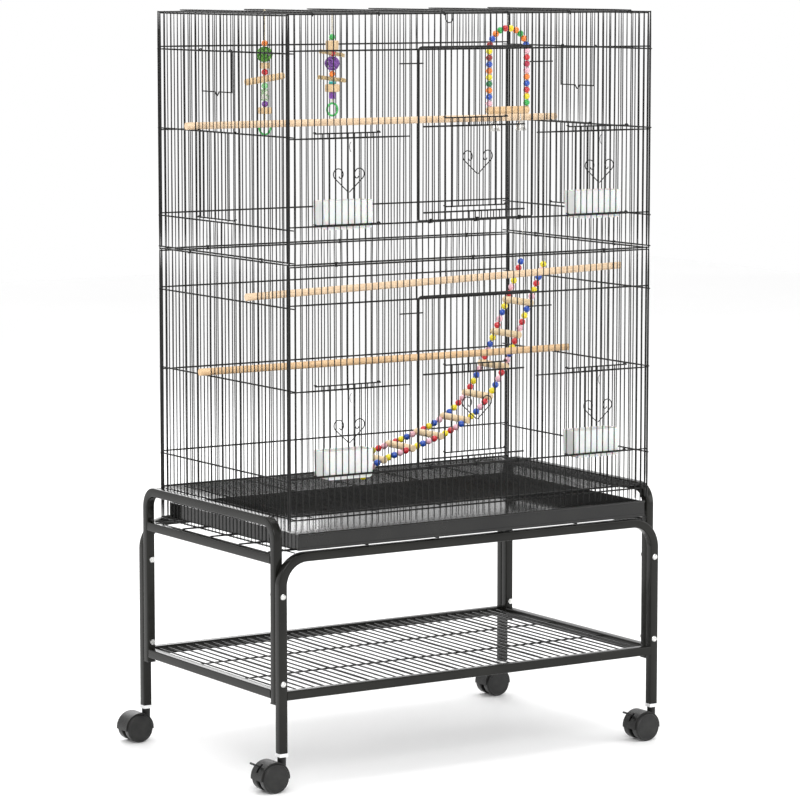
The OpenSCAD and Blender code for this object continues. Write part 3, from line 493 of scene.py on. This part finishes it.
def weld_ring(s, centre, a, b):
    """Fine fillet bead round the end of a square tube where it is welded on; a and b span the end."""
    rng = random.Random(int(1e5 * (centre.x + 3 * centre.y + 7 * centre.z)))
    path = []
    for x, y in rounded_square(TUBE * 0.97, WELD_CORNER, 5):
        x *= 1 + rng.uniform(-WELD_WOBBLE, WELD_WOBBLE)
        y *= 1 + rng.uniform(-WELD_WOBBLE, WELD_WOBBLE)
        path.append(centre + a * x + b * y)
    s.tube(path, WELD_R, ENAMEL, sides=6, closed=True)


def bent_tube(name, node, u, bend, bar=None):
    """Inverted U of square tube from the node's box; u is the axis it spans, bar a cross bar's height."""
    lo, hi = box(node)
    u = Vector(u)
    half = (hi - lo).dot(u) / 2 - TUBE / 2
    turn = hi.z - TUBE / 2 - bend
    c = Vector((middle(node).x, middle(node).y, 0))
    normal = u.cross(UP)
    path = [c - u * half + UP * lo.z, c - u * half + UP * (lo.z + FOOT_LENGTH), c - u * half + UP * turn]
    path += arc(c - u * (half - bend) + UP * turn, bend, math.pi, math.pi / 2, u, UP)[1:]
    path += arc(c + u * (half - bend) + UP * turn, bend, math.pi / 2, 0, u, UP)
    path += [c + u * half + UP * (lo.z + FOOT_LENGTH), c + u * half + UP * lo.z]
    s = Shape()
    s.sweep(path, PROFILE, ENAMEL, normal=normal)
    if bar is not None:
        inner = half - TUBE / 2
        s.sweep([c - u * inner + UP * bar, c + u * inner + UP * bar], PROFILE, ENAMEL, normal=normal)
        for side in (-1, 1):
            weld_ring(s, c + u * (side * (inner + 0.0002)) + UP * bar, normal, UP)
    s.object(name, FIXED, "black_tube", node)


bent_tube("front_legs", "front_leg_frame", (1, 0, 0), LEG_BEND)
bent_tube("rear_legs", "rear_leg_frame", (1, 0, 0), LEG_BEND)
bent_tube("left_arch", "left_side_arch", (0, 1, 0), ARCH_BEND, bar=CROSS_BAR)
bent_tube("right_arch", "right_side_arch", (0, 1, 0), ARCH_BEND, bar=CROSS_BAR)


def shelf():
    rails = Shape()
    for lo, hi in islands("shelf_frame"):
        size = hi - lo
        axis = 0 if size.x > size.y else 1
        a, b = (lo + hi) / 2, (lo + hi) / 2
        a[axis], b[axis] = lo[axis], hi[axis]
        side = UP.cross((b - a).normalized())
        rails.sweep([a, a.lerp(b, 0.5), b], PROFILE, ENAMEL, normal=side)
        for end in (a, b):
            weld_ring(rails, end, side, UP)
    rails.object("shelf_rails", FIXED, "black_tube", "shelf_frame")
    grid = Shape()
    drawn_wires(grid, "shelf_wires", SHELF, seed=5)
    for lo, hi in islands("shelf_wires"):
        found = straight(lo, hi)
        if found and found[0] == 1:
            r = found[3]
            weld = [(r * 1.05, -0.0012), (r * 1.5, -0.0004), (r * 1.7, 0.0), (r * 1.5, 0.0004),
                    (r * 1.05, 0.0012)]
            for end in (found[1], found[2]):
                grid.lathe(end, (0, 1, 0), weld, SHELF, sides=10)
    grid.object("shelf_grid", FIXED, "black_wire", "shelf_wires")


shelf()
paint("frame_bolts", ZINC)
paint("frame_nuts", ZINC)
paint("caster_sockets", SOCKET)
paint("arch_plugs", HOOD)

# ------------------------------------------------------------------ casters

# one wheel's section: bore, inner face from the middle, and the rounding of its two rims
BORE_R, INNER_FACE = 0.0034, 0.0054
INNER_RIM, OUTER_RIM = 0.0022, 0.0018


def wheel_outline(r, half):
    """(radius, distance from the middle) from the bore round the tread to the hub's face."""
    out = [(BORE_R, INNER_FACE), (r - INNER_RIM, INNER_FACE)]
    for i in range(5):
        a = math.pi / 2 * i / 4
        out.append((r - INNER_RIM + INNER_RIM * math.sin(a), INNER_FACE + INNER_RIM * (1 - math.cos(a))))
    # groove round the tread
    out += [(r, half - 0.0037), (r - 0.0004, half - 0.0033), (r - 0.0012, half - 0.0031),
            (r - 0.0012, half - 0.0025), (r - 0.0004, half - 0.0023), (r, half - 0.0021)]
    for i in range(6):
        a = math.pi / 2 * i / 5
        out.append((r - OUTER_RIM + OUTER_RIM * math.cos(a), half - 0.0020 + OUTER_RIM * math.sin(a)))
    # fine step inside the rim, then the dished face
    out += [(r - 0.0030, half - 0.0004), (r - 0.0034, half - 0.0007), (r - 0.0038, half - 0.0003),
            (r * 0.6, half - 0.0001), (r * 0.3, half), (0.0, half)]
    return out


def caster(tag):
    fork, wheels = "caster_%s_fork" % tag, "caster_%s_wheels" % tag
    paint(fork, HOOD)
    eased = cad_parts[fork].modifiers.new("eased", "BEVEL")
    eased.width = 0.0005
    eased.segments = 2
    eased.limit_method = "ANGLE"
    eased.angle_limit = math.radians(40)
    lo, hi = box(wheels)
    half_size = (hi - lo) / 2
    s = Shape()
    for side in (-1, 1):
        s.lathe(middle(wheels), (0, side, 0), wheel_outline(half_size.z, half_size.y), TREAD, sides=64)
    s.object("wheels_%s_turned" % tag, "wheels_" + tag, "black_plastic", wheels)


for _tag in ("fl", "fr", "rl", "rr"):
    caster(_tag)
for _tag in ("fl", "fr"):
    paint("brake_lever_" + _tag, HOOD)

# ------------------------------------------------------------------ cage panels

PANEL_BOW = 0.00032


def panel(name, tier, bow_axis, seed):
    node = "%s_panel_%s" % (name, tier)
    s = Shape()
    drawn_wires(s, node, WIRE, bow=PANEL_BOW, bow_axis=bow_axis, seed=seed)
    s.object("%s_%s_wires" % (name, tier), FIXED, "black_wire", node)


for _seed, (_name, _bow_axis) in enumerate((("front", 0), ("back", 0), ("left", 1), ("right", 1)), 10):
    for _tier in ("lower", "upper"):
        panel(_name, _tier, _bow_axis, _seed)

ROOF_CURL_R = 0.0034
LOOP_HALF, LOOP_LEG, LOOP_R = 0.0075, 0.006, 0.0010


def loop(s):
    """Small U of wire left hanging under the front edge of the roof."""
    rail = box("front_panel_upper")
    x, y, z = STAND.x - 0.052, rail[0].y + 0.0045, rail[1].z - 0.003
    path = [Vector((x - LOOP_HALF, y, z)), Vector((x - LOOP_HALF, y, z - LOOP_LEG))]
    path += arc((x, y, z - LOOP_LEG - 0.001), LOOP_HALF, math.pi, 2 * math.pi, (1, 0, 0), (0, 0, 1), 12)
    path += [Vector((x + LOOP_HALF, y, z - LOOP_LEG)), Vector((x + LOOP_HALF, y, z))]
    s.tube(path, LOOP_R, WIRE)


def roof():
    """Roof wires, the thick ones curled down over the front rail, and the loop."""
    s = Shape()
    drawn_wires(s, "roof_panel", WIRE, seed=31)
    for lo, hi in islands("roof_panel"):
        found = straight(lo, hi)
        if found and found[0] == 1:
            curl = Vector((found[1].x, lo.y, (lo.z + hi.z) / 2 - ROOF_CURL_R))
            s.tube(arc(curl, ROOF_CURL_R, math.pi / 2, math.pi * 1.25, (0, 1, 0), (0, 0, 1), 8),
                   found[3] * 0.94, WIRE, sides=10)
    loop(s)
    s.object("roof_wires", FIXED, "black_wire", "roof_panel")


def flat_grid(node):
    s = Shape()
    drawn_wires(s, node, WIRE, seed=41)
    s.object(node + "_wires", FIXED, "black_wire", node)


roof()
flat_grid("floor_grate")
flat_grid("base_rack")
for _node in ("panel_clips", "door_hinge_clips", "hanger_left", "hanger_right",
              "main_door_upper", "main_door_lower",
              "slider_upper_left", "slider_upper_centre", "slider_upper_right",
              "slider_lower_left", "slider_lower_centre", "slider_lower_right",
              "slider_side_left", "slider_side_right"):
    paint(_node, WIRE)
paint("slide_tray", TRAY)

# ends of the spring wire below the top of its sliding door, its place beside the middle, its bow
SPRING_HEAD, SPRING_FOOT = 0.0178, 0.0342
SPRING_SIDE, SPRING_IN = 0.0045, 0.0012
SPRING_BOW, SPRING_R = 0.0048, 0.0005


def spring(door):
    """Thin sprung wire under a front sliding door's top bar, bowed in towards the cage."""
    lo, hi = box(door)
    steps = 16
    path = []
    for i in range(steps + 1):
        t = i / steps
        path.append(Vector(((lo.x + hi.x) / 2 + SPRING_SIDE,
                            lo.y + SPRING_IN + SPRING_BOW * math.sin(math.pi * t) ** 0.7,
                            hi.z - SPRING_FOOT + (SPRING_FOOT - SPRING_HEAD) * t)))
    s = Shape()
    s.tube(path, SPRING_R, WIRE, sides=6)
    s.object(door + "_spring", door, "black_wire")


for _tier in ("upper", "lower"):
    for _side in ("left", "right"):
        spring("slider_%s_%s" % (_tier, _side))

# ------------------------------------------------------------------ furnishings

paint("perch_upper", PERCH)
paint("perch_tilted", PERCH)
paint("perch_lower", PERCH_WARM)
for _node in ("cup_upper_left", "cup_upper_right", "cup_lower_left", "cup_lower_right"):
    paint(_node, CUP)

SWING_LEFT = ["red", "green", "orange", "blue", "dark_red", "yellow", "dark_red", "blue", "orange",
              "yellow", "dark_green", "orange", "blue", "pink"]
SWING_RIGHT = ["yellow", "orange", "green", "orange", "blue", "pink", "red", "crimson", "pink", "orange",
               "blue", "red", "yellow", "green"]

BEAD_LEAST, BEAD_MOST = 0.009, 0.0135
THREAD_R = 0.0008


def swing():
    """Beads on a bent wire, the wooden bar that its ends run into, the hook and the bells."""
    s = Shape()
    parts = islands("bead_swing")
    round_parts = [(lo, hi) for lo, hi in parts if max(hi - lo) < BEAD_MOST and min(hi - lo) > BEAD_LEAST]
    beads = [(lo + hi) / 2 for lo, hi in round_parts]
    r = max((hi - lo).z for lo, hi in round_parts) / 2
    cx = sum(b.x for b in beads) / len(beads)
    left = sorted((b for b in beads if b.x < cx), key=lambda b: -b.z)
    right = sorted((b for b in beads if b.x >= cx), key=lambda b: -b.z)
    order = left[::-1] + right
    for group, colours in ((left, SWING_LEFT), (right, SWING_RIGHT)):
        for b, name in zip(group, colours):
            i = order.index(b)
            d = order[min(i + 1, len(order) - 1)] - order[max(i - 1, 0)]
            s.bead(b, r * 1.07, MATS["bead_" + name], axis=d, squash=0.93)
    s.tube(order, THREAD_R, STEEL, sides=6)
    lo, hi = max(parts, key=lambda p: (p[1] - p[0]).x)
    mid, size = (lo + hi) / 2, hi - lo
    s.block(mid, size.z / 2, size.x, BAR, axis=(1, 0, 0), hole=0.05, edge=0.12)
    for end in (order[0], order[-1]):
        s.tube([end, Vector((end.x, end.y, mid.z + size.z * 0.4))], THREAD_R, STEEL, sides=6)
    hook(s, parts, STEEL)
    s.object("swing_beads", "swing", "bead_plastic", "bead_swing")
    paint("swing_bells", STEEL)


HOOK_R, HOOK_INSET = 0.00088, 0.0009
SHANK_LEAST, SHANK_WIDEST = 0.004, 0.002
TWIST_R, TWIST_WIRE_R, TWIST_HALF_PITCH = 0.00065, 0.00055, 0.0042
TWIST_OVER = 0.001


def twisted_pair(s, lo, hi, m):
    """Two thin wires twisted round each other along a shank's box."""
    mid = (lo + hi) / 2
    length = hi.z - lo.z
    n = max(12, int(length / 0.0007))
    for phase in (0.0, math.pi):
        path = []
        for i in range(n + 1):
            z = lo.z - TWIST_OVER + (length + 2 * TWIST_OVER) * i / n
            a = phase + (z - lo.z) / TWIST_HALF_PITCH * math.pi
            path.append(Vector((mid.x + TWIST_R * math.cos(a), mid.y + TWIST_R * math.sin(a), z)))
        s.tube(path, TWIST_WIRE_R, m, 6)


def hook(s, parts, m):
    """Open wire hook over the roof wire, from the node's highest solid, and the shanks below it."""
    lo, hi = max(parts, key=lambda p: p[1].z)
    r = (hi.y - lo.y) / 2 - HOOK_INSET
    s.tube(arc((lo + hi) / 2, r, -math.radians(85), math.radians(215), (0, 1, 0), (0, 0, 1), 26), HOOK_R, m)
    for lo, hi in parts:
        size = hi - lo
        if size.z > SHANK_LEAST and size.x < SHANK_WIDEST and size.y < SHANK_WIDEST:
            twisted_pair(s, lo, hi, m)


def wicker(s, centre, r, m, seed):
    """Loose ball of wound vine: many crossing loops at slightly different depths."""
    rng = random.Random(seed)
    loops, points = 26, 36
    for _ in range(loops):
        axis = Vector((rng.gauss(0, 1), rng.gauss(0, 1), rng.gauss(0, 1))).normalized()
        u, w = square_to(axis)
        off = rng.uniform(-0.45, 0.45) * r
        loop_r = math.sqrt(r * r - off * off) * rng.uniform(0.86, 0.97)
        waves, phase = rng.randint(2, 4), rng.uniform(0, 6.28)
        path = []
        for i in range(points):
            a = 2 * math.pi * i / points
            q = loop_r * (1 + 0.035 * math.sin(waves * a + phase))
            path.append(centre + axis * (off * 0.9) + u * (q * math.cos(a)) + w * (q * math.sin(a)))
        s.tube(path, r * rng.uniform(0.045, 0.075), m, sides=5, closed=True)


def raffia(s, lo, hi, direction, m, seed, strands=16):
    """Twisted bundle of raffia with frayed ends, inside the given box."""
    rng = random.Random(seed)
    mid = (lo + hi) / 2
    d = Vector(direction).normalized()
    half = 0.49 * max(hi - lo) / max(abs(d.x), abs(d.y), abs(d.z))
    u, w = square_to(d)
    steps = 30
    for k in range(strands):
        a0 = 2 * math.pi * k / strands + rng.uniform(-0.3, 0.3)
        back, ahead = half * rng.uniform(0.84, 1.0), half * rng.uniform(0.84, 1.0)
        path = []
        for i in range(steps + 1):
            t = -back + (back + ahead) * i / steps
            q = abs(t) / half
            rad = 0.0014 + 0.0008 * (k % 3) + 0.0008 * max(0.0, q - 0.5) + 0.0003 * math.sin(9 * q + k)
            a = a0 + 5.0 * t / half
            path.append(mid + d * t + u * (rad * math.cos(a)) + w * (rad * math.sin(a)))
        s.tube(path, rng.uniform(0.0005, 0.0008), m, sides=5)


YARN_R, WOUND_YARN_R, YARN_EDGE = 0.0009, 0.00085, 0.0012


def netting(s, lo, hi, seed):
    """Cylinder of two-colour paper yarn wound both ways over a core."""
    mid = (lo + hi) / 2
    r = (hi.x - lo.x) / 2 - YARN_R
    h = hi.z - lo.z
    s.block(mid, r * 0.86, h * 0.94, YARN_WHITE, hole=0.2, edge=0.2)
    rng = random.Random(seed)
    yarns, steps, sweep = 12, 28, 3.2
    for k in range(yarns):
        turn = 1 if k % 2 else -1
        a0 = 2 * math.pi * k / yarns + rng.uniform(-0.1, 0.1)
        path = []
        for i in range(steps + 1):
            t = i / steps
            a = a0 + turn * sweep * t
            bulge = r * (0.9 + 0.1 * math.sin(math.pi * t))
            path.append(Vector((mid.x + bulge * math.cos(a), mid.y + bulge * math.sin(a),
                                lo.z + YARN_R + (h - 2 * YARN_R) * t)))
        s.tube(path, WOUND_YARN_R, YARN_GREEN if k % 3 == 0 else YARN_WHITE, sides=6)
    for z in (lo.z + YARN_EDGE, hi.z - YARN_EDGE):
        s.tube(circle(Vector((mid.x, mid.y, z)), r * 0.93, (1, 0, 0), (0, 1, 0), 24), YARN_R, YARN_GREEN,
               sides=6, closed=True)


def ring(s, lo, hi, m):
    tube_r = (hi.y - lo.y) / 2
    r = (hi.x - lo.x) / 2 - tube_r
    s.tube(circle((lo + hi) / 2, r, (1, 0, 0), (0, 0, 1), 40), tube_r, m, sides=14, closed=True)


STICK_D, STICK_LENGTH = 0.012, 0.08
PART_LEAST, PART_LEAST_WIDTH = 0.009, 0.0025
HOOK_BAND = 0.004
SPINE_R = 0.0007


def toy(node, name, body, looks, seed):
    """Dresses a toy's solids from the top down; each look is a kind with its colour or direction."""
    s = Shape()
    parts = islands(node)
    hook(s, parts, BRASSY)
    below = max(hi.z for lo, hi in parts) - HOOK_BAND
    solids = [(lo, hi) for lo, hi in parts
              if hi.z < below and max(hi - lo) > PART_LEAST and (hi - lo).x > PART_LEAST_WIDTH]
    solids.sort(key=lambda p: -(p[0].z + p[1].z))
    for i, ((kind, tint), (lo, hi)) in enumerate(zip(looks, solids)):
        mid, size = (lo + hi) / 2, hi - lo
        if kind == "bead":
            s.bead(mid, size.z / 2, MATS["bead_" + tint])
        elif kind == "ball":
            wicker(s, mid, size.z / 2, tint, seed)
            s.bead(mid, size.z / 2 * 0.55, tint)
        elif kind == "block":
            s.block(mid, size.x / 2, size.z, tint)
        elif kind == "stick":
            slope = Vector((size.x, 0, size.z - STICK_D)).normalized()
            s.block(mid, STICK_D / 2, STICK_LENGTH, tint, axis=slope, hole=0.06, edge=0.2)
        elif kind in ("raffia", "beaded raffia"):
            raffia(s, lo, hi, tint, RAFFIA, seed + i)
            if kind == "beaded raffia":
                s.bead(mid + Vector((0, -0.0012, 0.0004)), 0.0052, MATS["bead_red"])
        elif kind == "net":
            netting(s, lo, hi, seed)
        elif kind == "ring":
            ring(s, lo, hi, MATS["bead_" + tint])
    first, last_top = (solids[0][0] + solids[0][1]) / 2, solids[-1][1].z
    s.tube([first, Vector((first.x, first.y, last_top))], SPINE_R, BRASSY, sides=6)
    s.object(name, body, "toy_mix", node)


swing()
toy("toy_ball_string", "ball_toy_parts", "ball_toy",
    [("bead", "orange"), ("ball", VINE_GREEN), ("block", BLOCK), ("bead", "red"), ("stick", BLOCK),
     ("bead", "light_green"), ("net", None), ("bead", "purple"), ("block", BLOCK), ("ring", "green")], 7)
toy("toy_disc_string", "disc_toy_parts", "disc_toy",
    [("bead", "green"), ("block", BLOCK), ("beaded raffia", (0.86, 0.5, -0.1)), ("ball", VINE_PURPLE),
     ("bead", "orange"), ("raffia", (0.93, -0.34, -0.13)), ("block", MATS["bead_teal"]), ("block", BLOCK),
     ("block", MATS["bead_purple"]), ("ring", "green")], 19)

# near rail, then far rail: six beads above the first rung, then four below each rung
LADDER = [
    ["yellow", "pink", "blue", "red", "yellow", "pink",
     "blue", "yellow", "red", "pink", "red", "yellow", "blue", "pink", "red", "pink", "blue", "yellow",
     "red", "pink", "blue", "yellow", "blue", "pink", "red", "yellow", "red", "pink", "blue", "yellow",
     "red", "pink", "blue", "yellow", "blue", "pink", "red", "yellow"],
    ["blue", "red", "blue", "yellow", "pink", "red",
     "yellow", "blue", "pink", "red", "yellow", "blue", "pink", "red", "pink", "blue", "yellow", "red",
     "pink", "red", "yellow", "blue", "pink", "blue", "yellow", "red", "pink", "blue", "yellow", "red",
     "pink", "red", "yellow", "blue", "pink", "blue", "yellow", "red"]]


def ladder():
    s = Shape()
    parts = islands("bead_ladder")
    rungs = islands("ladder_rungs")
    r = (parts[0][1].y - parts[0][0].y) / 2
    centres = [(lo + hi) / 2 for lo, hi in parts]
    ys = sorted({round(c.y, 4) for c in centres})
    for y, colours in zip((ys[0], ys[-1]), LADDER):
        beads = sorted((c for c in centres if abs(c.y - y) < r), key=lambda c: -c.z)
        line = beads + [Vector(((lo.x + hi.x) / 2, y, (lo.z + hi.z) / 2)) for lo, hi in rungs]
        line.sort(key=lambda c: -c.z)
        for b, name in zip(beads, colours):
            i = line.index(b)
            d = line[max(i - 1, 0)] - line[min(i + 1, len(line) - 1)]
            s.bead(b, r, MATS["bead_" + name], axis=d)
        s.tube(line, THREAD_R, STEEL, sides=6)
    s.object("ladder_beads", FIXED, "bead_plastic", "bead_ladder")
    dowels = Shape()
    for lo, hi in rungs:
        size = hi - lo
        dowels.block((lo + hi) / 2, size.z / 2, size.y, RUNG, axis=(0, 1, 0), hole=0.04, edge=0.12)
    dowels.object("ladder_dowels", FIXED, "pale_wood", "ladder_rungs")
    paint("ladder_hooks", STEEL)


ladder()
